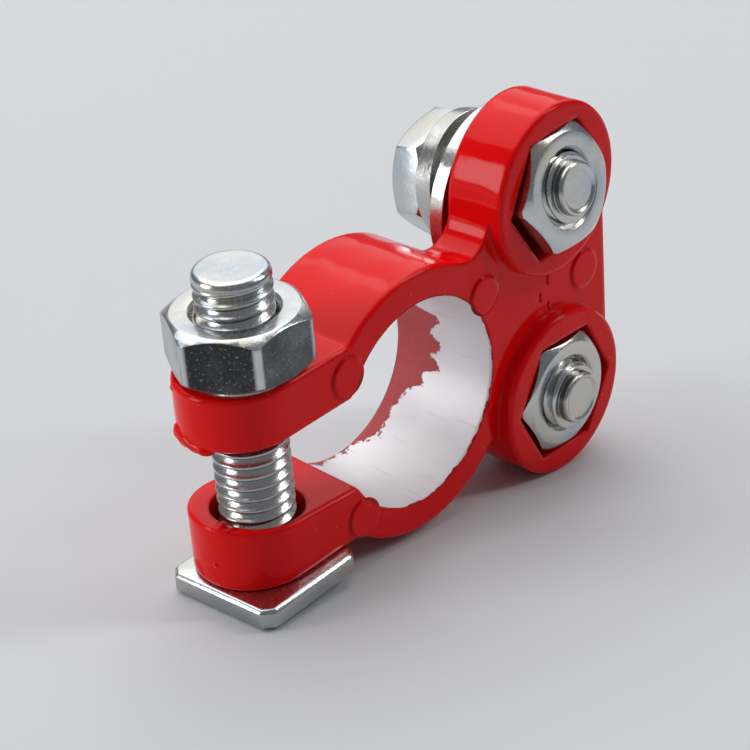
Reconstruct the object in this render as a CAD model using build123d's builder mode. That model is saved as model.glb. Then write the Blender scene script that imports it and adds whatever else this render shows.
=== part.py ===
from build123d import *
from math import atan, cos, degrees, hypot, pi, radians, sin, sqrt, tan
import os

# Battery terminal clamp: a split, painted ring casting that a pinch bolt closes on the battery
# post, with two cable bolts whose nuts sit captive in hexagonal pockets. Lengths in millimetres.
# +Y runs along the bore from the underside (wide end) to the top, +Z along the pinch bolt from
# its head to its nut, and +X from the pinch bolt to the cable bolts. The origin is the centre
# of the bore.

# ring and bore
ring_width = 10.0
ring_dia = 23.4
bore_dia = 18.0             # at the underside, where the post is widest
bore_taper = 1 / 9          # diameter lost per millimetre of width

# ears
nut_to_ring = 1.5           # from a corner of the pinch nut to the ring, along the upper ear
upper_ear_thickness = 4.7
lower_ear_thickness = 5.2   # at the pinch bolt
ear_gap = 7.5               # measured at the pinch bolt
slit_height = 0.4           # middle of the gap above the bore axis
lower_ear_lean = 5.0        # degrees that its inner face closes towards the upper ear
pinch_hole_dia = 7.6
pinch_offset = -0.8         # pinch bolt axis from the middle of the width, along Y
ear_root_radius = 0.8

# web and bosses
boss_dia = 15.0
upper_boss_height = 12.6    # above the bore axis
lower_boss_height = -6.8
washer_to_ring = 0.3        # least distance from a flat washer to the ring
boss_proud = 1.3            # bosses stand this far out of the web's underside
web_thickness = 4.2
cable_hole_play = 0.2       # beside the shank that leans most
neck_radius = 2.6           # fillet from the ring to the upper boss
notch_radius = 0.9          # fillet from the ring to the lower boss
edge_radius = 0.35

# the two cable bolts: how many degrees above +X a corner of the nut and its pocket stands, how
# far the nut stands off its pocket floor, how far the shank shows past the nut, and how far the
# loose bolt and nut sag at the head
upper_nut_turn = 3.0
upper_nut_lift = 1.0
upper_bolt_past_nut = 1.0
upper_bolt_sag = 10.0       # degrees
lower_nut_turn = -2.0
lower_nut_lift = 0.0
lower_bolt_past_nut = 1.55
lower_bolt_sag = 0.0

# ejector pin marks
pin_mark_dia = 3.4
pin_mark_height = 0.2
ring_mark_angles = (36.0, 142.0, 222.0)     # degrees from +X towards +Z
web_mark_inset = 2.9                        # from the web's outer edge

# nuts and shanks
cable_shank_dia = 5.9
cable_hex_af = 9.8
pinch_shank_dia = 6.2
pinch_hex_af = 10.5
running_clearance = 0.06    # radial, between a shank and its nut
nut_height = 4.7
countersink_width = 0.5     # radial, at both ends of a nut's bore
hex_chamfer_angle = 35.0
hex_face_share = 0.95       # turned end face of a nut or head, as a share of the flats
captive_play = 0.06         # beside the captive nut that leans most
pocket_depth = 4.4
shank_end_chamfer = 0.6

# pinch bolt
square_head_size = 11.0
square_head_height = 2.0
square_corner_cut = 0.9
square_top_chamfer = 0.3
square_edge_chamfer = 0.45  # round the underside
square_head_turn = 2.0      # degrees about the bolt axis
pinch_shank_length = 26.5
seat_gap = 0.02             # between the head and the lower ear
pinch_nut_lift = 0.9        # nut run down to just above the upper ear

# cable bolts, loose in their holes as when no cable is clamped
cable_shank_length = 13.0
cable_head_height = 3.6
cable_head_turn = 15.0      # degrees about the bolt axis
upper_flat_washer_dia = 16.0
upper_flat_washer_hole = 8.6
lower_flat_washer_dia = 12.0
lower_flat_washer_hole = 6.4
flat_washer_thickness = 1.3
washer_play = 0.12          # between the shank and the rim of the hole that hangs on it
washer_gap = 0.02           # between the flat washer and the lock washer
lock_washer_dia = 11.8
lock_washer_hole = 6.3
lock_washer_thickness = 1.6
lock_washer_free_height = 2.3
lock_washer_split = 0.7
lock_washer_turn = 180.0    # degrees about the bolt axis, from the split at the top

# derived places
ring_radius = ring_dia / 2
boss_radius = boss_dia / 2
underside_y = -ring_width / 2
boss_front_y = underside_y - boss_proud
pocket_floor_y = boss_front_y + pocket_depth
web_back_y = underside_y + web_thickness
upper_inner_z = slit_height + ear_gap / 2
upper_seat_z = upper_inner_z + upper_ear_thickness
lower_inner_z = slit_height - ear_gap / 2
lower_seat_z = lower_inner_z - lower_ear_thickness
ear_reach = sqrt(ring_radius**2 - upper_seat_z**2) + nut_to_ring + pinch_hex_af / sqrt(3)
lean_slope = tan(radians(lower_ear_lean))
head_seat_z = lower_seat_z - seat_gap
lock_washer_mean_dia = (lock_washer_dia + lock_washer_hole) / 2
lock_washer_turns = 1 - lock_washer_split / (pi * lock_washer_mean_dia)
pinch_axis = (-ear_reach, pinch_offset)


def cable_stack(nut_lift, bolt_past_nut, sag):
    """Places along a cable bolt in y: pivot it sags about, nut back, head seat, flat washer back."""
    lean = radians(sag)
    nut_back = pocket_floor_y - nut_lift
    pivot = (boss_front_y + nut_back) / 2
    head_seat = nut_back - nut_height - bolt_past_nut + cable_shank_length
    lock_front = head_seat - lock_washer_free_height
    lock_edge = pivot + (lock_front - pivot) * cos(lean) - lock_washer_dia / 2 * sin(lean)
    return pivot, nut_back, head_seat, lock_edge - washer_gap


def leaned_reach(half_width, along, sag):
    """Reach square to Y, at some distance along Y, of a half-width that leans by sag."""
    lean = radians(sag)
    return half_width / cos(lean) + abs(along) * tan(lean)


def hung_height(boss_height, stack, sag, washer_hole):
    """Height of a flat washer that hangs on the shank of its bolt."""
    pivot, nut_back, head_seat, washer_back = stack
    axis_drop = (washer_back - flat_washer_thickness / 2 - pivot) * tan(radians(sag))
    shank_reach = leaned_reach(cable_shank_dia / 2, flat_washer_thickness / 2, sag)
    return boss_height - axis_drop - washer_hole / 2 + shank_reach + washer_play


def reach_past_ring(height, washer_dia):
    """Distance from the bore axis, along X, at which a washer at some height clears the ring."""
    return sqrt((ring_radius + washer_to_ring + washer_dia / 2) ** 2 - height**2)


# bosses, as near to the ring as their flat washers allow
upper_stack = cable_stack(upper_nut_lift, upper_bolt_past_nut, upper_bolt_sag)
lower_stack = cable_stack(lower_nut_lift, lower_bolt_past_nut, lower_bolt_sag)
upper_washer_z = hung_height(upper_boss_height, upper_stack, upper_bolt_sag, upper_flat_washer_hole)
lower_washer_z = hung_height(lower_boss_height, lower_stack, lower_bolt_sag, lower_flat_washer_hole)
boss_reach = max(
    reach_past_ring(upper_washer_z, upper_flat_washer_dia),
    reach_past_ring(lower_washer_z, lower_flat_washer_dia),
)
upper_pivot_y, lower_pivot_y = upper_stack[0], lower_stack[0]
pocket_half_width = captive_play + max(
    leaned_reach(cable_hex_af / 2, boss_front_y - upper_pivot_y, upper_bolt_sag),
    leaned_reach(cable_hex_af / 2, boss_front_y - lower_pivot_y, lower_bolt_sag),
)
cable_hole_radius = cable_hole_play + max(
    leaned_reach(cable_shank_dia / 2, web_back_y - upper_pivot_y, upper_bolt_sag),
    leaned_reach(cable_shank_dia / 2, web_back_y - lower_pivot_y, lower_bolt_sag),
)
web_edge_x = boss_reach + boss_radius
mark_radius = (ring_radius + bore_dia / 2) / 2
web_mark = (web_edge_x - web_mark_inset, (upper_boss_height + lower_boss_height) / 2)
ring_centre = (0, 0)
upper_boss = (boss_reach, upper_boss_height)
lower_boss = (boss_reach, lower_boss_height)

# planes that face -Y, whose local x is +X and local y is +Z
underside = Plane.XZ.offset(-underside_y)
boss_front = Plane.XZ.offset(-boss_front_y)


def slit_floor_z(x):
    """Height at x of the lower ear's inner face."""
    return lower_inner_z - lean_slope * (x + ear_reach)


def neck(centre_1, radius_1, centre_2, radius_2, fillet_radius, side):
    """Fill between two round outlines up to an arc that is tangent to both."""
    span_x = centre_2[0] - centre_1[0]
    span_z = centre_2[1] - centre_1[1]
    span = hypot(span_x, span_z)
    to_arc_1 = radius_1 + fillet_radius
    to_arc_2 = radius_2 + fillet_radius
    along = (span**2 + to_arc_1**2 - to_arc_2**2) / (2 * span)
    across = side * sqrt(to_arc_1**2 - along**2)
    arc_centre = (
        centre_1[0] + (span_x * along - span_z * across) / span,
        centre_1[1] + (span_z * along + span_x * across) / span,
    )
    with BuildLine() as triangle:
        Polyline(centre_1, centre_2, arc_centre, close=True)
    make_face(triangle.edges())
    with Locations(arc_centre):
        Circle(fillet_radius, mode=Mode.SUBTRACT)


def across_bolt(boss, pivot, sag, y, facing, turn=0.0):
    """Plane across a cable bolt's axis, which sags about pivot, facing +Y or -Y, turned about it."""
    lean = radians(sag)
    angle = radians(turn)
    along = y - pivot
    return Plane(
        (boss[0], pivot + along * cos(lean), boss[1] - along * sin(lean)),
        x_dir=(cos(angle), sin(angle) * sin(lean), sin(angle) * cos(lean)),
        z_dir=(0, facing * cos(lean), -facing * sin(lean)),
    )


def hex_prism(plane, across_flats, height):
    """Hexagon standing on plane, with the corners of both ends turned off by a cone."""
    with BuildSketch(plane) as hexagon:
        RegularPolygon(across_flats / 2, 6, major_radius=False)
    extrude(hexagon.sketch, amount=height)
    face = across_flats / 2 * hex_face_share
    corner = across_flats / sqrt(3)
    drop = (corner - face) * tan(radians(hex_chamfer_angle))
    half_section = Plane(plane.origin, x_dir=plane.x_dir, z_dir=plane.x_dir.cross(plane.z_dir))
    with BuildSketch(half_section) as turned:
        with BuildLine() as outline:
            Polyline(
                (0, 0),
                (face, 0),
                (corner, drop),
                (corner, height - drop),
                (face, height),
                (0, height),
                close=True,
            )
        make_face(outline.edges())
    revolve(turned.sketch, axis=Axis(plane.origin, plane.z_dir), mode=Mode.INTERSECT)


def shank(plane, dia, length):
    """Plain shank standing on plane with a chamfered free end."""
    with BuildSketch(plane) as section:
        Circle(dia / 2)
    extrude(section.sketch, amount=length)
    free_end = edges().filter_by(GeomType.CIRCLE).sort_by(Axis(plane.origin, plane.z_dir))[-1]
    chamfer(free_end, shank_end_chamfer)


def threaded_nut(plane, across_flats, screw_dia):
    """Hexagon nut standing on plane, countersunk at both ends of its bore."""
    hex_prism(plane, across_flats, nut_height)
    bore_radius = screw_dia / 2 + running_clearance
    with BuildSketch(plane) as bore:
        Circle(bore_radius)
    extrude(bore.sketch, amount=nut_height, mode=Mode.SUBTRACT)
    mouths = edges().filter_by(GeomType.CIRCLE).filter_by(lambda e: e.radius < bore_radius + 0.01)
    chamfer(mouths, countersink_width)


os.makedirs("parts", exist_ok=True)

with BuildPart() as clamp_body:
    # ring and ears: one outline seen along the bore, with the ear noses rounded in plan
    with BuildSketch(underside):
        Circle(ring_radius)
        with BuildLine():
            Polyline(
                (0, upper_seat_z),
                (-ear_reach - ring_width, upper_seat_z),
                (-ear_reach - ring_width, lower_seat_z),
                (0, lower_seat_z),
                close=True,
            )
        make_face()
        ear_roots = vertices().filter_by(lambda v: abs(hypot(v.X, v.Y) - ring_radius) < 0.01)
        fillet(ear_roots.sort_by(Axis.X)[:2], ear_root_radius)
        # the slit, open from the bore to the noses
        with BuildLine():
            Polyline(
                (0, upper_inner_z),
                (-2 * ear_reach, upper_inner_z),
                (-2 * ear_reach, slit_floor_z(-2 * ear_reach)),
                (0, slit_floor_z(0)),
                close=True,
            )
        make_face(mode=Mode.SUBTRACT)
    extrude(amount=-ring_width)
    with BuildSketch(Plane.XY):
        with Locations((-ear_reach, 0)):
            Circle(ring_width / 2)
        with Locations((-ear_reach / 2 + ring_radius / 2, 0)):
            Rectangle(ear_reach + ring_radius, ring_width)
    extrude(amount=3 * ring_radius, both=True, mode=Mode.INTERSECT)

    # softened edges, running on round the ear noses; the slit's end lies inside the bore
    flat_sides = faces().filter_by(Axis.Y)
    side_edges = flat_sides.edges().filter_by(Axis.Z, reverse=True)
    fillet(side_edges, edge_radius)

    # web between ring and bosses, level with the ring's underside
    with BuildSketch(underside):
        with BuildLine():
            Polyline(
                ring_centre,
                upper_boss,
                (web_edge_x, upper_boss_height),
                (web_edge_x, lower_boss_height),
                lower_boss,
                close=True,
            )
        make_face()
        neck(ring_centre, ring_radius, upper_boss, boss_radius, neck_radius, 1)
        neck(ring_centre, ring_radius, lower_boss, boss_radius, notch_radius, -1)
    extrude(amount=-web_thickness)
    with BuildSketch(boss_front):
        with Locations(upper_boss, lower_boss):
            Circle(boss_radius)
    extrude(amount=-boss_proud - web_thickness)
    boss_rims = edges().filter_by(GeomType.CIRCLE).filter_by(lambda e: e.center().Y < boss_front_y + 0.01)
    fillet(boss_rims, edge_radius)

    # round marks left by the ejector pins
    with BuildSketch(underside):
        with Locations(web_mark):
            Circle(pin_mark_dia / 2)
        for angle in ring_mark_angles:
            with Locations((mark_radius * cos(radians(angle)), mark_radius * sin(radians(angle)))):
                Circle(pin_mark_dia / 2)
    extrude(amount=pin_mark_height)

    # tapered bore, widest at the underside
    with BuildSketch(underside):
        Circle(bore_dia / 2)
    extrude(amount=-ring_width, taper=degrees(atan(bore_taper / 2)), mode=Mode.SUBTRACT)

    # pinch bolt hole through both ears
    with BuildSketch(Plane.XY):
        with Locations(pinch_axis):
            Circle(pinch_hole_dia / 2)
    extrude(amount=2 * ring_radius, both=True, mode=Mode.SUBTRACT)

    # captive nut pockets and cable bolt holes
    with BuildSketch(boss_front):
        with Locations(
            Location((*upper_boss, 0), upper_nut_turn),
            Location((*lower_boss, 0), lower_nut_turn),
        ):
            RegularPolygon(pocket_half_width, 6, major_radius=False)
    extrude(amount=-pocket_depth, mode=Mode.SUBTRACT)
    with BuildSketch(boss_front):
        with Locations(upper_boss, lower_boss):
            Circle(cable_hole_radius)
    extrude(amount=-boss_proud - web_thickness, mode=Mode.SUBTRACT)
clamp_body.part.label = "clamp_body"
export_step(clamp_body.part, "parts/clamp_body.step")

# square-headed bolt through the ears, its head against the lower one
with BuildPart() as pinch_bolt:
    head_seat = Plane((*pinch_axis, head_seat_z))
    with BuildSketch(head_seat):
        Rectangle(square_head_size, square_head_size, rotation=square_head_turn)
        chamfer(vertices(), square_corner_cut)
    extrude(amount=-square_head_height)
    chamfer(faces().sort_by(Axis.Z)[-1].edges(), square_top_chamfer)
    chamfer(faces().sort_by(Axis.Z)[0].edges(), square_edge_chamfer)
    shank(head_seat, pinch_shank_dia, pinch_shank_length)
pinch_bolt.part.label = "pinch_bolt"
export_step(pinch_bolt.part, "parts/pinch_bolt.step")

with BuildPart() as pinch_nut:
    threaded_nut(Plane((*pinch_axis, upper_seat_z + pinch_nut_lift)), pinch_hex_af, pinch_shank_dia)
pinch_nut.part.label = "pinch_nut"
export_step(pinch_nut.part, "parts/pinch_nut.step")

cable_bolts = {
    "upper": (
        (upper_boss, upper_nut_turn, upper_bolt_sag, upper_stack),
        (upper_washer_z, upper_flat_washer_dia, upper_flat_washer_hole),
    ),
    "lower": (
        (lower_boss, lower_nut_turn, lower_bolt_sag, lower_stack),
        (lower_washer_z, lower_flat_washer_dia, lower_flat_washer_hole),
    ),
}

for level, (bolt_places, washer_sizes) in cable_bolts.items():
    boss, nut_turn, sag, (pivot, nut_back_y, head_seat_y, washer_back_y) = bolt_places
    washer_z, washer_dia, washer_hole = washer_sizes

    # nut held in its pocket
    with BuildPart() as cable_nut:
        nut_back = across_bolt(boss, pivot, sag, nut_back_y, -1, nut_turn)
        threaded_nut(nut_back, cable_hex_af, cable_shank_dia)
    cable_nut.part.label = f"{level}_cable_nut"
    export_step(cable_nut.part, f"parts/{level}_cable_nut.step")

    # hexagon bolt put in from the web's back
    with BuildPart() as cable_bolt:
        head_seat = across_bolt(boss, pivot, sag, head_seat_y, 1, cable_head_turn)
        hex_prism(head_seat, cable_hex_af, cable_head_height)
        shank_top = across_bolt(boss, pivot, sag, head_seat_y, -1)
        shank(shank_top, cable_shank_dia, cable_shank_length)
    cable_bolt.part.label = f"{level}_cable_bolt"
    export_step(cable_bolt.part, f"parts/{level}_cable_bolt.step")

    # flat washer that bears on the cable lug, hanging upright on the shank
    with BuildPart() as flat_washer:
        with BuildSketch(Plane.XZ.offset(-washer_back_y)):
            with Locations((boss[0], washer_z)):
                Circle(washer_dia / 2)
                Circle(washer_hole / 2, mode=Mode.SUBTRACT)
        extrude(amount=flat_washer_thickness)
    flat_washer.part.label = f"{level}_flat_washer"
    export_step(flat_washer.part, f"parts/{level}_flat_washer.step")

    # split lock washer under the head, one coil of square-cut spring wire that is sprung open
    coil_height = lock_washer_free_height - lock_washer_thickness
    coil_y = head_seat_y - lock_washer_free_height + lock_washer_thickness / 2
    coil_base = across_bolt(boss, pivot, sag, coil_y, 1)
    with BuildPart() as lock_washer:
        with BuildLine() as coil:
            turn_of_wire = Helix(
                pitch=coil_height / lock_washer_turns,
                height=coil_height,
                radius=lock_washer_mean_dia / 2,
                center=coil_base.origin,
                direction=coil_base.z_dir,
                lefthand=True,
                mode=Mode.PRIVATE,
            )
            add(turn_of_wire.rotate(Axis(coil_base.origin, coil_base.z_dir), lock_washer_turn))
        outward = coil.line @ 0 - coil_base.origin
        with BuildSketch(Plane(coil.line @ 0, x_dir=outward, z_dir=coil.line % 0)):
            Rectangle((lock_washer_dia - lock_washer_hole) / 2, lock_washer_thickness)
        sweep(is_frenet=True)
    lock_washer.part.label = f"{level}_lock_washer"
    export_step(lock_washer.part, f"parts/{level}_lock_washer.step")
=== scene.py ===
from math import asin, atan2, ceil, cos, pi, radians, sin, sqrt

import bmesh
import bpy
from mathutils import Matrix, Vector, noise


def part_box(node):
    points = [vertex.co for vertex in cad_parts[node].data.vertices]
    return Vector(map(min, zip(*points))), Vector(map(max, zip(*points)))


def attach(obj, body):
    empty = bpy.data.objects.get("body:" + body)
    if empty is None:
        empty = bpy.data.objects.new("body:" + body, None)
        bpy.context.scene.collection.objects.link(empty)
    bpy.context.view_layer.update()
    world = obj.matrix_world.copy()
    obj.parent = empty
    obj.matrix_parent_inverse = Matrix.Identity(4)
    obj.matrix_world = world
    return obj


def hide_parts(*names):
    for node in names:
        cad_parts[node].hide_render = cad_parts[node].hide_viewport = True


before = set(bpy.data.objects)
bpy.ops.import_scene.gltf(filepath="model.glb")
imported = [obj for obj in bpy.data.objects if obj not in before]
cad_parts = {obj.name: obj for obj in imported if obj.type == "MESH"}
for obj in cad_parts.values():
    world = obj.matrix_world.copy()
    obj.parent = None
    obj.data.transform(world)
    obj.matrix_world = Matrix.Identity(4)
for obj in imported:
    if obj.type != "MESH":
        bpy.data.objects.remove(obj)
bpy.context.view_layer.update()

# Battery terminal clamp, dressed: a painted casting with a bare bore, and zinc-plated bolts,
# nuts and washers. Lengths are written in millimetres and turned to metres by MM.
MM = 0.001

# camera
view_azimuth = -45.789
view_elevation = 30.167
view_roll = -4.679
camera_place = (-122.54, -119.26, 100.31)
focal_length = 115.81
sensor_width = 36.0
nearest_seen = 0.01         # metres

# casting
ring_width = 10.0
bore_radius = 9.0           # at the underside
bore_taper = 1 / 18         # radius lost per millimetre of width

# screws: a thread is its crest radius and its root radius
thread_pitch = 1.0
pinch_thread = (3.1, 2.55)
cable_thread = (2.95, 2.4)
pinch_thread_start = 200    # degrees about the bolt
cable_thread_start = 0
crest_round = 0.08
last_groove_lift = 0.6      # how much of a thread's depth is gone where it runs out
# turned free ends: radius, and height above the last of the thread
pinch_tip = ((0, -0.3), (3.0, -0.3), (3.09, 0.0), (3.06, 0.22), (2.92, 0.42), (2.74, 0.55),
             (2.58, 0.6), (2.5, 0.6), (0, 0.6))
cable_tip = ((0, -0.3), (2.3, -0.3), (2.3, 0.5), (2.22, 0.7), (2.07, 0.8), (1.92, 0.77),
             (1.82, 0.66), (1.74, 0.62), (1.66, 0.62), (0, 0.62))
pinch_nut_corner = 10.5 / sqrt(3)
cable_nut_corner = 9.8 / sqrt(3)
pinch_head_height = 2.0
pinch_shank_length = 26.5
cable_shank_length = 13.0
pinch_head_edge = 0.12      # roundings
cable_head_edge = 0.35
nut_corner_edge = 0.3       # between the flats
nut_rim_edge = 0.1
# where a cable bolt's head sits, and the degrees that the bolt sags below +Y
cable_bolts = {
    "upper": (Vector((16.919, 4.263, 11.037)), 10.0),
    "lower": (Vector((16.919, 4.85, -6.8)), 0.0),
}

# edge of the enamel that runs into the bore: degrees from +X towards +Z, and its place along Y
paint_tongue = ((-150, 4.9), (-115, 4.7), (-100, 4.7), (-75, 4.6), (-73, 4.0), (-58, 3.7), (-49, 4.1),
                (-44, 3.5), (-37, 3.4), (-30, 2.1), (-22, 1.8), (-17, 0.5), (-10, 1.1), (-3.5, 0.7),
                (5, 1.3), (14, 0.4), (20, 2.1), (30, 4.0), (45, 4.7), (60, 4.9))

# lumps of enamel: how uneven their skin is, of their radius, and how finely
lump_unevenness = 0.1
lump_grain = 1.3
# nibs of enamel: how much they narrow towards the tip, and the power of the rise that they follow
nib_taper = 0.72
nib_taper_power = 0.7

# turned and cut meshes
cad_weld = 0.001            # vertices of a CAD node nearer than this are one
turned_weld = 0.002         # and those of a turned surface
cut_tolerance = 1e-7        # metres
thread_steps = 48           # in a turn
end_steps = 64

# looks
darkest_reflection_facing = (-0.707, -0.707, 0)    # way that the flats with the darkest painted reflection face
feed_pitch = 0.25           # of the tool that turned the bore
tongue_wander = 2.2         # span that the enamel tongue's edge wanders over
casting_edge_round = 0.55
plated_edge_round = 0.12
studio_grey = "#C9CBCE"
world_strength = 0.3

# where the clamp touches the floor: on the square head's chamfered edge, in from its side and
# above its underside, and on the round of the lower boss
head_touch_inset = 0.3
head_touch_lift = 0.1
lower_boss_radius = 7.5
floor_reach = 2.5           # metres

# lamps: direction, distance, width and height in metres, and radiance
lamps = {
    "overhead_softbox": ((0.15, 0.35, 1.0), 0.75, 1.0, 0.8, 2.0),
    "back_softbox": ((0.62, 0.66, 0.52), 0.8, 1.0, 0.5, 1.0),
    "left_softbox": ((-0.95, 0.62, 0.42), 0.6, 0.2, 0.28, 7.5),
    "front_strip": ((0.62, -0.49, 0.58), 0.7, 0.1, 0.35, 10.0),
}


# --- meshes -------------------------------------------------------------------------------

def centre_of(node):
    """Middle of a CAD node's box, in metres."""
    low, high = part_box(node)
    return (low + high) / 2


def finished(bm, name, body, material, smooth_angle=30):
    """Turn a bmesh in metres into a smooth-shaded piece that rides on a body."""
    mesh = bpy.data.meshes.new(name)
    bm.to_mesh(mesh)
    bm.free()
    mesh.shade_smooth()
    mesh.set_sharp_from_angle(angle=radians(smooth_angle))
    mesh.materials.append(material)
    piece = bpy.data.objects.new(name, mesh)
    bpy.context.scene.collection.objects.link(piece)
    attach(piece, body)
    return piece


def merged_copy(node):
    """Bmesh copy of a CAD node, its loose triangles joined up."""
    bm = bmesh.new()
    bm.from_mesh(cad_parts[node].data)
    bmesh.ops.remove_doubles(bm, verts=bm.verts[:], dist=cad_weld * MM)
    return bm


def cut_off(bm, place, direction):
    """Cut away what lies past a place in a direction."""
    bmesh.ops.bisect_plane(bm, geom=bm.verts[:] + bm.edges[:] + bm.faces[:], dist=cut_tolerance,
                           plane_co=place, plane_no=direction, clear_outer=True)


def close_holes(bm):
    """Fill every open rim."""
    bmesh.ops.holes_fill(bm, edges=[e for e in bm.edges if e.is_boundary], sides=0)


def turn_about(bm, verts, axis, degrees):
    """Turn vertices about an axis through the origin."""
    bmesh.ops.rotate(bm, verts=verts, cent=(0, 0, 0),
                     matrix=Matrix.Rotation(radians(degrees), 3, axis))


def soften(bm, width, along=None, sharper_than=20):
    """Round every edge that turns by more than an angle, or only the long ones along an axis."""
    sharp = [e for e in bm.edges if e.is_manifold and e.calc_face_angle() > radians(sharper_than)]
    if along:
        sharp = [e for e in sharp if e.calc_length() > 1 * MM
                 and abs((e.verts[0].co - e.verts[1].co).normalized().dot(along)) > 0.99]
    bmesh.ops.bevel(bm, geom=sharp, offset=width * MM, offset_type="OFFSET", affect="EDGES",
                    segments=2, profile=0.5, material=-1, clamp_overlap=True)


def turned_end(bm, tip, height):
    """Lathe-turned free end, added to a bmesh with its foot at some height along +Z."""
    outline = [bm.verts.new((r * MM, 0, (height + z) * MM)) for r, z in tip]
    edges = [bm.edges.new(pair) for pair in zip(outline, outline[1:])]
    before = set(bm.verts) - set(outline)
    bmesh.ops.spin(bm, geom=outline + edges, cent=(0, 0, 0), axis=(0, 0, 1), angle=2 * pi,
                   steps=end_steps, use_merge=True)
    bmesh.ops.remove_doubles(bm, verts=[v for v in bm.verts if v not in before],
                             dist=turned_weld * MM)


def screw_thread(thread, length, tip, start_angle):
    """Rolled thread along +Z from the origin, in metres, that runs out at its turned end."""
    crest, root = thread
    run_out = length - max(z for _, z in tip)
    bm = bmesh.new()
    # one ridge: radius, and height in pitches
    ridge = ((root, 0.0), (root, 0.1), (crest - crest_round, 0.36), (crest, 0.44),
             (crest, 0.58), (crest - crest_round, 0.66), (root, 0.92), (root, 1.0))
    points = [bm.verts.new((r * MM, 0, (z - 1) * thread_pitch * MM)) for r, z in ridge]
    edges = [bm.edges.new(pair) for pair in zip(points, points[1:])]
    turns = ceil(length / thread_pitch) + 2
    bmesh.ops.spin(bm, geom=points + edges, cent=(0, 0, 0), axis=(0, 0, 1),
                   dvec=(0, 0, thread_pitch * MM / thread_steps),
                   angle=2 * pi * turns, steps=thread_steps * turns, use_merge=False)
    bmesh.ops.remove_doubles(bm, verts=bm.verts[:], dist=turned_weld * MM)
    cut_off(bm, (0, 0, 0), (0, 0, -1))
    cut_off(bm, (0, 0, run_out * MM), (0, 0, 1))
    # the last groove gets shallow
    for vertex in bm.verts:
        fade = max(0.0, 1 - (run_out - vertex.co.z / MM) / thread_pitch)
        floor = root + (crest - root) * last_groove_lift * fade
        radius = vertex.co.xy.length / MM
        if radius < floor:
            vertex.co.xy *= floor / radius
    close_holes(bm)
    turned_end(bm, tip, run_out)
    turn_about(bm, bm.verts[:], "Z", start_angle)
    bmesh.ops.recalc_face_normals(bm, faces=bm.faces[:])
    return bm


def bolt(node, body, seat, direction, edge, thread, material):
    """CAD bolt head with softened edges, joined to a thread that stands for the plain shank."""
    bm = merged_copy(node)
    cut_off(bm, seat, direction)
    close_holes(bm)
    soften(bm, edge)
    bmesh.ops.recalc_face_normals(bm, faces=bm.faces[:])
    along = Vector((0, 0, 1)).rotation_difference(direction).to_matrix()
    bmesh.ops.rotate(thread, verts=thread.verts[:], cent=(0, 0, 0), matrix=along)
    bmesh.ops.translate(thread, verts=thread.verts[:], vec=seat)
    shank = bpy.data.meshes.new("shank")
    thread.to_mesh(shank)
    thread.free()
    bm.from_mesh(shank)
    bpy.data.meshes.remove(shank)
    piece = finished(bm, node + "_screw", body, material)
    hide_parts(node)


def plated_nut(node, body, axis, material):
    """Copy of a CAD nut in its place, rounded well between its flats and a little elsewhere."""
    bm = merged_copy(node)
    soften(bm, nut_corner_edge, along=axis)
    soften(bm, nut_rim_edge, sharper_than=25)
    piece = finished(bm, node + "_plated", body, material)
    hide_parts(node)


def paint_lump(bm, centre, radii, turn=(0, 0, 0), seed=0):
    """Rounded lump with an uneven skin, added to a bmesh; centre and radii in millimetres."""
    lump = bmesh.ops.create_icosphere(bm, subdivisions=3, radius=1.0)["verts"]
    for vertex in lump:
        uneven = noise.noise(vertex.co * lump_grain + Vector((seed, 0, 0)))
        vertex.co *= 1 + lump_unevenness * uneven
    bmesh.ops.scale(bm, verts=lump, vec=[r * MM for r in radii])
    for axis, degrees in zip("XYZ", turn):
        turn_about(bm, lump, axis, degrees)
    bmesh.ops.translate(bm, verts=lump, vec=[c * MM for c in centre])


def paint_nib(bm, foot, radius, height, lean):
    """Drawn-up nib of paint with a round tip, added to a bmesh; lean is degrees about X and Y."""
    nib = bmesh.ops.create_icosphere(bm, subdivisions=4, radius=1.0)["verts"]
    for vertex in nib:
        rise = max(vertex.co.z, 0.0)
        vertex.co.xy *= 1 - nib_taper * rise ** nib_taper_power
    bmesh.ops.scale(bm, verts=nib, vec=(radius * MM, radius * MM, height * MM))
    for axis, degrees in zip("XY", lean):
        turn_about(bm, nib, axis, degrees)
    bmesh.ops.translate(bm, verts=nib, vec=[c * MM for c in foot])


# --- materials ----------------------------------------------------------------------------

def hex_colour(code):
    """sRGB hex to the linear values that the shaders take."""
    channels = [int(code[i:i + 2], 16) / 255 for i in (1, 3, 5)]
    return [c / 12.92 if c <= 0.04045 else ((c + 0.055) / 1.055) ** 2.4 for c in channels] + [1.0]


def add(tree, kind, inputs=None, **settings):
    """Add a shader node with its settings; inputs take values, sockets, or nodes by their first output."""
    made = tree.nodes.new("ShaderNode" + kind)
    for name, value in settings.items():
        setattr(made, name, value)
    for socket, value in (inputs or {}).items():
        if isinstance(value, bpy.types.Node):
            value = value.outputs[0]
        if isinstance(value, bpy.types.NodeSocket):
            tree.links.new(value, made.inputs[socket])
        else:
            made.inputs[socket].default_value = value
    return made


def calc(tree, operation, *values):
    """Math node on values in their order."""
    return add(tree, "Math", dict(enumerate(values)), operation=operation)


def remap(tree, value, low, high, start=0.0, end=1.0):
    """Carry a value that lies from low to high over to between start and end, clamped."""
    return add(tree, "MapRange", {0: value, 1: low, 2: high, 3: start, 4: end})


def blend(tree, share, first, second):
    """Colour from the first to the second by a share; a colour is a hex code, socket or node."""
    first, second = [hex_colour(c) if isinstance(c, str) else c for c in (first, second)]
    return add(tree, "Mix", {0: share, 6: first, 7: second}, data_type="RGBA").outputs[2]


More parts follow.
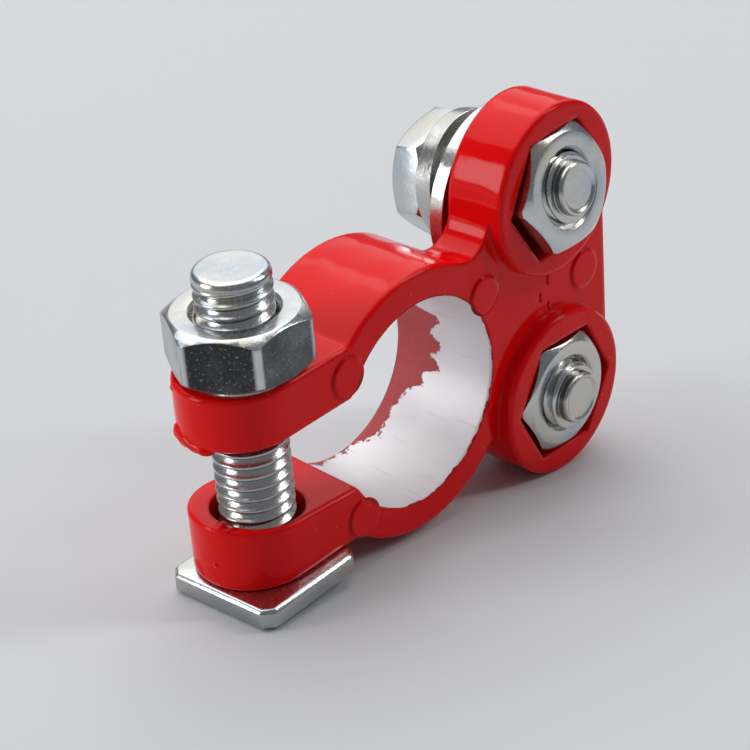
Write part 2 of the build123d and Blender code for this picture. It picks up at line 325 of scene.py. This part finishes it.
def ramp(tree, value, *stops):
    """Colour ramp through stops, each a position and a hex code."""
    made = add(tree, "ValToRGB", {0: value})
    elements = made.color_ramp.elements
    while len(elements) < len(stops):
        elements.new(0.5)
    for element, (position, code) in zip(elements, stops):
        element.position = position
        element.color = hex_colour(code)
    return made


def shape_curve(curve, points):
    """Lay a float curve through points."""
    curve.points[0].location = points[0]
    curve.points[1].location = points[-1]
    for point in points[1:-1]:
        curve.points.new(*point)


def per_mm(size):
    """Texture scale that gives features of a size in millimetres."""
    return 1 / (size * MM)


def noise_pattern(tree, coords, size, detail, roughness=0.5):
    """Noise with features of a size in millimetres."""
    return add(tree, "TexNoise", {"Vector": coords, "Scale": per_mm(size), "Detail": detail,
                                  "Roughness": roughness})


def spots(tree, coords, spacing, core, rim):
    """Round spots about spacing millimetres apart, full within core and gone at rim, as parts of it."""
    cells = add(tree, "TexVoronoi", {"Vector": coords, "Scale": per_mm(spacing), "Randomness": 1.0})
    return remap(tree, cells.outputs["Distance"], core, rim, 1.0, 0.0)


def relief_height(tree, *layers):
    """Height in metres that patterns add up to, each with its own height in millimetres."""
    total = 0.0
    for pattern, height in layers:
        total = calc(tree, "MULTIPLY_ADD", pattern, height * MM, total)
    return total


def new_material(name):
    """Empty node material with a Principled shader, and its object coordinates."""
    material = bpy.data.materials.new(name)
    material.use_nodes = True
    tree = material.node_tree
    shader = tree.nodes["Principled BSDF"]
    coords = add(tree, "TexCoord").outputs["Object"]
    return material, tree, shader, coords


def red_enamel_casting():
    """Die-cast zinc alloy, dipped in glossy red enamel and bored afterwards.

    The enamel pools softly over edges, with a faint orange peel, pimples of dust and pinholes.
    The bore is bare turned metal that a ragged tongue of enamel runs into from its top.
    """
    material, tree, shader, coords = new_material("red_enamel_on_cast_zinc")
    x, y, z = add(tree, "SeparateXYZ", {0: coords}).outputs

    # bare metal: on the cone of the bore, clear of its rims
    plan = add(tree, "CombineXYZ", {0: x, 1: 0.0, 2: z})
    radius = add(tree, "VectorMath", {0: plan}, operation="LENGTH").outputs["Value"]
    middle_radius = bore_radius - ring_width / 2 * bore_taper
    cone = calc(tree, "MULTIPLY_ADD", y, -bore_taper, middle_radius * MM)
    off_wall = calc(tree, "SUBTRACT", radius, cone)
    on_wall = remap(tree, off_wall, 0.02 * MM, 0.05 * MM, 1.0, 0.0)

    # the tongue's edge: its place along Y by the angle from +X towards +Z
    first, last = paint_tongue[0][0], paint_tongue[-1][0]
    angle = calc(tree, "ARCTAN2", z, x)
    around = remap(tree, angle, radians(first), radians(last))
    edge = add(tree, "FloatCurve", {"Value": around})
    shape_curve(edge.mapping.curves[0], [
        ((degrees - first) / (last - first), (place + ring_width / 2) / ring_width)
        for degrees, place in paint_tongue])
    edge_y = calc(tree, "MULTIPLY_ADD", edge, ring_width * MM, -ring_width / 2 * MM)
    ragged = noise_pattern(tree, coords, 1.1, 5.0, 0.6)
    ragged_y = calc(tree, "MULTIPLY_ADD", ragged, tongue_wander * MM, -tongue_wander / 2 * MM)
    past_edge = calc(tree, "SUBTRACT", y, edge_y)
    past_edge = calc(tree, "ADD", past_edge, ragged_y)
    tongue = remap(tree, past_edge, -0.05 * MM, 0.05 * MM)
    wisps = noise_pattern(tree, coords, 0.5, 4.0, 0.7)
    near_edge = remap(tree, past_edge, -0.9 * MM, 0.4 * MM, 0.78, 0.40)
    wispy = calc(tree, "SUBTRACT", wisps, near_edge)
    wispy = remap(tree, wispy, -0.02, 0.02)
    painted = calc(tree, "MULTIPLY", wispy, 0.85)
    tongue = calc(tree, "MULTIPLY", tongue, 0.9)
    painted = calc(tree, "MAXIMUM", painted, tongue)

    # paint rolled over the underside's rim
    near_rim = calc(tree, "ADD", y, ring_width / 2 * MM)
    rim_height = calc(tree, "MULTIPLY", ragged_y, 0.4)
    near_rim = calc(tree, "SUBTRACT", near_rim, rim_height)
    rim_paint = remap(tree, near_rim, 0.02 * MM, 0.08 * MM, 1.0, 0.0)
    painted = calc(tree, "MAXIMUM", painted, rim_paint)
    unpainted = calc(tree, "SUBTRACT", 1.0, painted)
    bare = calc(tree, "MULTIPLY", on_wall, unpainted)

    # turned bore: feed marks round it, and a few scratches along it
    feed = add(tree, "Mapping", {"Vector": coords, "Scale": (per_mm(6), per_mm(feed_pitch), per_mm(6))})
    feed_marks = add(tree, "TexNoise", {"Vector": feed, "Scale": 1.0, "Detail": 3.0})
    drag = add(tree, "Mapping", {"Vector": coords, "Scale": (per_mm(0.5), per_mm(9), per_mm(0.5)),
                                 "Rotation": (radians(12), 0, radians(8))})
    drag_marks = add(tree, "TexNoise", {"Vector": drag, "Scale": 1.0, "Detail": 4.0})
    scratches = remap(tree, drag_marks, 0.62, 0.7)
    patches = noise_pattern(tree, coords, 3.5, 3.0)
    metal = blend(tree, patches, "#D8D5D8", "#EAE7E9")
    metal = blend(tree, calc(tree, "MULTIPLY", scratches, 0.15), metal, "#A5A5A7")

    # enamel: slow change of depth, pale pimples of dust, and pinholes darkened with painted shade
    cloud = noise_pattern(tree, coords, 7, 2.0)
    enamel = blend(tree, cloud, "#D60609", "#E80B0E")
    dust = spots(tree, coords, 1.4, 0.03, 0.05)
    pinholes = spots(tree, coords, 2.7, 0.015, 0.035)
    enamel = blend(tree, calc(tree, "MULTIPLY", dust, 0.45), enamel, "#F0B0A8")
    # pinholes darkened to a deep red: painted shade
    enamel = blend(tree, calc(tree, "MULTIPLY", pinholes, 0.7), enamel, "#5A0304")

    # overspray in the bore is thin, dull and dusty
    dusty = noise_pattern(tree, coords, 0.3, 3.0)
    overspray = blend(tree, dusty, "#97080D", "#C02227")
    enamel = blend(tree, on_wall, enamel, overspray)
    colour = blend(tree, bare, enamel, metal)
    roughness = remap(tree, on_wall, 0.0, 1.0, 0.1, 0.55)
    metallic = calc(tree, "MULTIPLY", bare, 0.5)

    # relief: pooled enamel is uneven over millimetres as well as finely dimpled
    rounded = add(tree, "Bevel", {"Radius": casting_edge_round * MM}, samples=8)
    pooled = noise_pattern(tree, coords, 4.5, 1.0)
    peel = noise_pattern(tree, coords, 1.4, 2.0)
    coated = relief_height(tree, (pooled, 0.16), (peel, 0.010), (dust, 0.05), (pinholes, -0.05))
    turned = relief_height(tree, (feed_marks, 0.012), (scratches, -0.02))
    relief = add(tree, "Mix", {0: bare, 2: coated, 3: turned})
    bump = add(tree, "Bump", {"Height": relief, "Distance": 1.0, "Strength": 1.0, "Normal": rounded})

    tree.links.new(colour, shader.inputs["Base Color"])
    tree.links.new(roughness.outputs[0], shader.inputs["Roughness"])
    tree.links.new(metallic.outputs[0], shader.inputs["Metallic"])
    tree.links.new(bump.outputs[0], shader.inputs["Normal"])
    shader.inputs["Specular IOR Level"].default_value = 0.14
    return material


def zinc_plate(name, centre, axis, dark_reflection_share, corner_radius=None, root_radius=None):
    """Steel, cold-forged or stamped, bright zinc-plated and blue-passivated.

    It gives a bluish silver with straw-coloured patches. Faces across the axis keep turned rings,
    and the flats along it carry a painted dark reflection, darkest on flats that face one way and
    mottled at random; it is sprinkled with bright specks and stops short of their corners. Thread
    roots are darkened with painted shade.
    """
    material, tree, shader, coords = new_material(name)
    upright = axis.rotation_difference(Vector((0, 0, 1))).to_euler()
    moved = add(tree, "Mapping", {"Vector": coords, "Location": [-c for c in centre]})
    turned = add(tree, "Mapping", {"Vector": moved, "Rotation": upright})
    normal = add(tree, "TexCoord").outputs["Normal"]
    facing = add(tree, "VectorMath", {0: normal, 1: axis}, operation="DOT_PRODUCT").outputs["Value"]
    across = calc(tree, "ABSOLUTE", facing)
    on_side = remap(tree, across, 0.2, 0.45, 1.0, 0.0)
    on_end = remap(tree, across, 0.85, 0.97)
    flattened = add(tree, "VectorMath", {0: turned, 1: (1, 1, 0)}, operation="MULTIPLY")
    radius = add(tree, "VectorMath", {0: flattened}, operation="LENGTH").outputs["Value"]

    tint = noise_pattern(tree, coords, 4.5, 2.0, 0.4)
    silver = ramp(tree, tint, (0.32, "#BCC4CA"), (0.5, "#CBCDCE"), (0.68, "#CFCCC0"))
    grain = noise_pattern(tree, coords, 0.24, 5.0, 0.75)
    clouds = noise_pattern(tree, coords, 2.2, 3.0, 0.6)
    speckle = remap(tree, grain, 0.58, 0.7)
    # share of the side faces that takes a painted dark reflection
    dark_reflection_mask = calc(tree, "MULTIPLY", on_side, dark_reflection_share)
    # the painted dark reflection stops short of the corners
    if corner_radius:
        clear_of_corners = remap(tree, radius, 0.96 * corner_radius * MM, 0.98 * corner_radius * MM, 1.0, 0.0)
        dark_reflection_mask = calc(tree, "MULTIPLY", dark_reflection_mask, clear_of_corners)
    # flats take a painted dark reflection, darkest on those that face one way, with random mottle
    front = add(tree, "VectorMath", {0: normal, 1: darkest_reflection_facing}, operation="DOT_PRODUCT")
    mottled = calc(tree, "MULTIPLY_ADD", clouds, 0.6, -0.3)
    tone = calc(tree, "ADD", front.outputs["Value"], mottled)
    reflection_and_mottle = ramp(tree, tone, (0.25, "#B4B5B5"), (0.68, "#55585C"), (0.98, "#191C21"))
    side = blend(tree, dark_reflection_mask, silver, reflection_and_mottle)
    bright_specks = calc(tree, "MULTIPLY", speckle, dark_reflection_mask)
    bright_specks = calc(tree, "MULTIPLY", bright_specks, 0.7)
    colour = blend(tree, bright_specks, side, "#C4C6C8")
    if root_radius:
        # painted shade in the thread roots
        root_shade = remap(tree, radius, (root_radius + 0.02) * MM, (root_radius + 0.24) * MM, 0.7, 0.0)
        root_shade = calc(tree, "MULTIPLY", root_shade, on_side)
        colour = blend(tree, root_shade, colour, "#3A3936")

    rings = add(tree, "TexWave", {"Vector": turned, "Scale": per_mm(0.3) / 10, "Distortion": 1.5,
                                  "Detail": 2.0}, wave_type="RINGS", rings_direction="Z")
    ring_marks = calc(tree, "MULTIPLY", rings.outputs["Fac"], on_end)
    height = relief_height(tree, (ring_marks, 0.003), (grain, 0.008), (clouds, 0.05))
    rounded = add(tree, "Bevel", {"Radius": plated_edge_round * MM}, samples=6)
    bump = add(tree, "Bump", {"Height": height, "Distance": 1.0, "Strength": 1.0, "Normal": rounded})
    roughness = remap(tree, grain, 0.3, 0.7, 0.15, 0.3)

    tree.links.new(colour, shader.inputs["Base Color"])
    tree.links.new(roughness.outputs[0], shader.inputs["Roughness"])
    tree.links.new(bump.outputs[0], shader.inputs["Normal"])
    shader.inputs["Metallic"].default_value = 1.0
    return material


def matte_floor():
    """Pale grey studio board, matte."""
    material, _, shader, _ = new_material("pale_studio_board")
    shader.inputs["Base Color"].default_value = hex_colour(studio_grey)
    shader.inputs["Roughness"].default_value = 0.9
    shader.inputs["Specular IOR Level"].default_value = 0.1
    return material


# --- the clamp ----------------------------------------------------------------------------

def dress_casting():
    """Enamel on the casting, with the beads, nib, torn film and dabs that dipping leaves on it."""
    enamel = red_enamel_casting()
    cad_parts["clamp_body"].material_slots[0].material = enamel
    bm = bmesh.new()
    # bead along the upper ear's lower edge, and the drip that it ends in
    paint_lump(bm, (-19.45, 2.35, 4.5), (0.5, 0.8, 0.75), turn=(0, 0, -25), seed=2)
    paint_lump(bm, (-19.85, 1.3, 4.35), (0.5, 1.0, 0.6), turn=(0, 0, -12), seed=6)
    paint_lump(bm, (-19.95, 0.1, 4.2), (0.5, 1.1, 0.5), seed=3)
    paint_lump(bm, (-19.7, -0.75, 4.1), (0.7, 0.8, 0.42), turn=(0, 0, 10), seed=7)
    # nib pulled up from the upper ear's corner
    paint_nib(bm, (-18.9, 2.5, 8.4), 0.7, 1.3, (-10, -12))
    # torn film beside the hole of the lower ear, and a blob on the nose below it
    paint_lump(bm, (-19.45, -1.0, -2.95), (0.6, 0.5, 0.14), turn=(0, -5, 20), seed=4)
    paint_lump(bm, (-19.8, -1.3, -3.12), (0.26, 0.9, 0.27), turn=(0, 0, 15), seed=8)
    paint_lump(bm, (-19.3, -2.0, -2.98), (0.5, 0.2, 0.12), turn=(0, -5, -28), seed=9)
    paint_lump(bm, (-20.05, -0.55, -6.4), (0.2, 0.45, 0.38), seed=5)
    # beads on the ring's face beside the bore, and dabs on the web
    paint_lump(bm, (8.05, -4.95, 6.35), (0.3, 0.16, 1.1), turn=(0, 30, 0), seed=10)
    paint_lump(bm, (8.35, -4.95, -4.5), (0.3, 0.16, 0.6), turn=(0, 20, 0), seed=11)
    for place in ((16.7, -5.0, 3.85), (15.7, -5.0, 2.6), (16.7, -5.0, 1.35)):
        paint_lump(bm, place, (0.22, 0.14, 0.5), seed=place[2])
    finished(bm, "paint_runs", "clamp", enamel, smooth_angle=60)


def dress_screws():
    """Plated bolts, nuts and washers in their CAD places."""
    low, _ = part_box("pinch_bolt")
    nut = centre_of("pinch_nut")
    up = Vector((0, 0, 1))
    seat = Vector((nut.x, nut.y, low.z + pinch_head_height * MM))
    steel = zinc_plate("zinc_plated_pinch_bolt", nut, up, dark_reflection_share=0.2, root_radius=pinch_thread[1])
    thread = screw_thread(pinch_thread, pinch_shank_length, pinch_tip, pinch_thread_start)
    bolt("pinch_bolt", "pinch_bolt", seat, up, pinch_head_edge, thread, steel)
    nut_steel = zinc_plate("zinc_plated_pinch_nut", nut, up, dark_reflection_share=0.95,
                           corner_radius=pinch_nut_corner)
    plated_nut("pinch_nut", "pinch_nut", up, nut_steel)

    for level, (head_seat, sag) in cable_bolts.items():
        along = Vector((0, cos(radians(sag)), -sin(radians(sag))))
        seat = head_seat * MM
        nut_steel = zinc_plate("zinc_plated_nut_" + level, seat, along, dark_reflection_share=0.35,
                               corner_radius=cable_nut_corner)
        plated_nut(level + "_cable_nut", "clamp", along, nut_steel)
        steel = zinc_plate("zinc_plated_bolt_" + level, seat, along, dark_reflection_share=0.1,
                           root_radius=cable_thread[1])
        thread = screw_thread(cable_thread, cable_shank_length, cable_tip, cable_thread_start)
        bolt(level + "_cable_bolt", level + "_bolt", seat, -along, cable_head_edge, thread, steel)
        washer_steel = zinc_plate("zinc_plated_washers_" + level, seat, along, dark_reflection_share=0.15)
        for kind in ("flat", "lock"):
            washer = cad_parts[f"{level}_{kind}_washer"]
            washer.material_slots[0].material = washer_steel


# --- studio -------------------------------------------------------------------------------

def floor_under(corner, boss):
    """Floor that touches the square head's low edge and the round of the lower boss."""
    reach_x, reach_z = boss.x - corner.x, boss.z - corner.z
    tilt = atan2(reach_z, reach_x) - asin(lower_boss_radius * MM / (reach_x**2 + reach_z**2) ** 0.5)
    bm = bmesh.new()
    bmesh.ops.create_grid(bm, x_segments=1, y_segments=1, size=floor_reach)
    bmesh.ops.rotate(bm, verts=bm.verts[:], cent=(0, 0, 0), matrix=Matrix.Rotation(-tilt, 3, "Y"))
    bmesh.ops.translate(bm, verts=bm.verts[:], vec=corner)
    mesh = bpy.data.meshes.new("floor")
    bm.to_mesh(mesh)
    bm.free()
    mesh.materials.append(matte_floor())
    floor = bpy.data.objects.new("floor", mesh)
    bpy.context.scene.collection.objects.link(floor)


def softbox(name, direction, distance, width, height, radiance):
    """Rectangular lamp that faces the clamp from a direction, of an even brightness."""
    light = bpy.data.lights.new(name, "AREA")
    light.shape = "RECTANGLE"
    light.size = width
    light.size_y = height
    light.energy = radiance * pi * width * height
    lamp = bpy.data.objects.new(name, light)
    towards = Vector(direction).normalized()
    lamp.location = towards * distance
    lamp.rotation_euler = towards.to_track_quat("Z", "Y").to_euler()
    lamp.visible_camera = False
    bpy.context.scene.collection.objects.link(lamp)


def studio():
    """Floor, soft lamps and camera."""
    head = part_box("pinch_bolt")[0]
    touch = Vector((head.x + head_touch_inset * MM, 0, head.z + head_touch_lift * MM))
    floor_under(touch, centre_of("lower_cable_nut"))

    for name, lamp in lamps.items():
        softbox(name, *lamp)

    world = bpy.data.worlds.new("studio")
    world.use_nodes = True
    background = world.node_tree.nodes["Background"]
    background.inputs["Color"].default_value = hex_colour(studio_grey)
    background.inputs["Strength"].default_value = world_strength
    bpy.context.scene.world = world

    camera = bpy.data.cameras.new("camera")
    camera.lens = focal_length
    camera.sensor_width = sensor_width
    camera.clip_start = nearest_seen
    viewer = bpy.data.objects.new("camera", camera)
    viewer.matrix_world = (Matrix.Translation([c * MM for c in camera_place])
                           @ Matrix.Rotation(radians(view_azimuth), 4, "Z")
                           @ Matrix.Rotation(radians(90 - view_elevation), 4, "X")
                           @ Matrix.Rotation(radians(view_roll), 4, "Z"))
    bpy.context.scene.collection.objects.link(viewer)
    bpy.context.scene.camera = viewer
    bpy.context.scene.view_settings.view_transform = "Standard"


dress_casting()
dress_screws()
studio()
